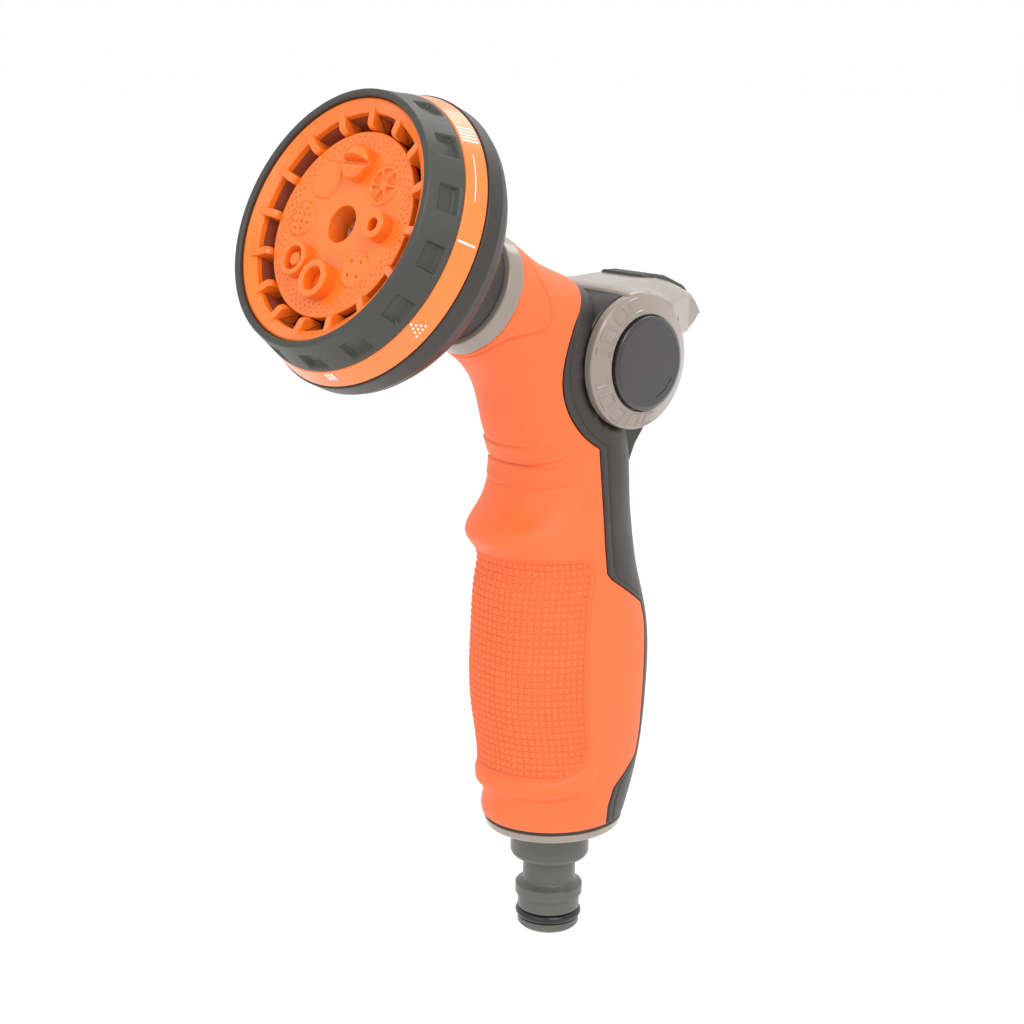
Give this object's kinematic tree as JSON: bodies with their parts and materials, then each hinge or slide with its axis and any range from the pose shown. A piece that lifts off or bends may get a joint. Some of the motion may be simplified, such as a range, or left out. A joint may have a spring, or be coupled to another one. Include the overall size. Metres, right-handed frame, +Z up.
{
  "type": "hose spray nozzle",
  "caption": "Hand-held garden hose spray nozzle with a soft grip, a turning multi-pattern spray head, a thumb lever that opens the water valve, and a quick-connect hose spigot.",
  "frame": {"origin": "centre of the hose spigot's lower end", "axes": "+Z up along the hose spigot towards the hub, -Y the way the water leaves, X across the nozzle, which is symmetric about X = 0"},
  "size_m": [0.0686, 0.1247, 0.2123],
  "materials": {
    "soft_orange": "soft matt elastomer",
    "orange_plastic": "satin moulded plastic",
    "band_orange": "gloss band with pale printed icons",
    "dark_plastic": "fine textured warm grey plastic",
    "dark_rubber": "matt rubber",
    "light_grey": "gloss warm grey plastic",
    "cap_dark": "gloss dark plastic",
    "adaptor_grey": "moulded grey plastic",
    "black_rubber": "smooth rubber",
    "inner_plastic": "natural acetal",
    "steel": "bright steel"
  },
  "bodies": {
    "handle": {"grip_cover": "soft_orange", "housing_right": "dark_plastic", "housing_left": "dark_plastic", "end_collar": "light_grey", "seam_ring": "dark_plastic", "neck_collar": "light_grey", "hose_adaptor": "adaptor_grey", "adaptor_oring": "black_rubber", "adaptor_washer": "black_rubber", "inlet_tube": "inner_plastic", "tube_orings": "black_rubber", "outlet_spigot": "inner_plastic", "spigot_orings": "black_rubber", "valve_body": "inner_plastic", "seat_seals": "black_rubber", "valve_glands": "inner_plastic", "port_disc": "inner_plastic", "port_seal": "black_rubber", "seal_spring": "steel", "screw_washer": "steel", "head_screw": "steel", "detent_spring": "black_rubber"},
    "spray_head": {"head_rear_shell": "dark_plastic", "pattern_band": "band_orange", "front_grip_ring": "dark_rubber", "face_bezel": "orange_plastic", "head_bushing": "inner_plastic", "chamber_plate": "dark_plastic", "plate_gasket": "black_rubber", "spray_plate": "orange_plastic", "fan_nozzle": "orange_plastic", "jet_nozzle": "orange_plastic", "cone_nozzle": "orange_plastic", "swirl_nozzle": "orange_plastic"},
    "lever": {"thumb_lever": "light_grey", "thumb_pad": "dark_rubber", "hub_cap_right": "cap_dark", "hub_cap_left": "cap_dark", "valve_plug": "inner_plastic", "plug_orings": "black_rubber", "lever_screws": "steel"},
    "detent": {"detent_plunger": "inner_plastic"}
  },
  "joints": [
    {"name": "head_turn", "type": "hinge", "parent": "handle", "child": "spray_head", "pos_m": [0, 0.0095, 0.148], "axis": [0, -0.9078, 0.4195], "continuous": true},
    {"name": "lever_swing", "type": "hinge", "parent": "handle", "child": "lever", "pos_m": [0, 0.0095, 0.148], "axis": [-1, 0, 0], "range_deg": [0, 55]},
    {"name": "detent_press", "type": "slide", "parent": "handle", "child": "detent", "axis": [0, -0.9078, 0.4195], "range_m": [-0.0006, 0], "stiffness_N_per_m": 300, "deforming": ["detent_spring"]}
  ]
}
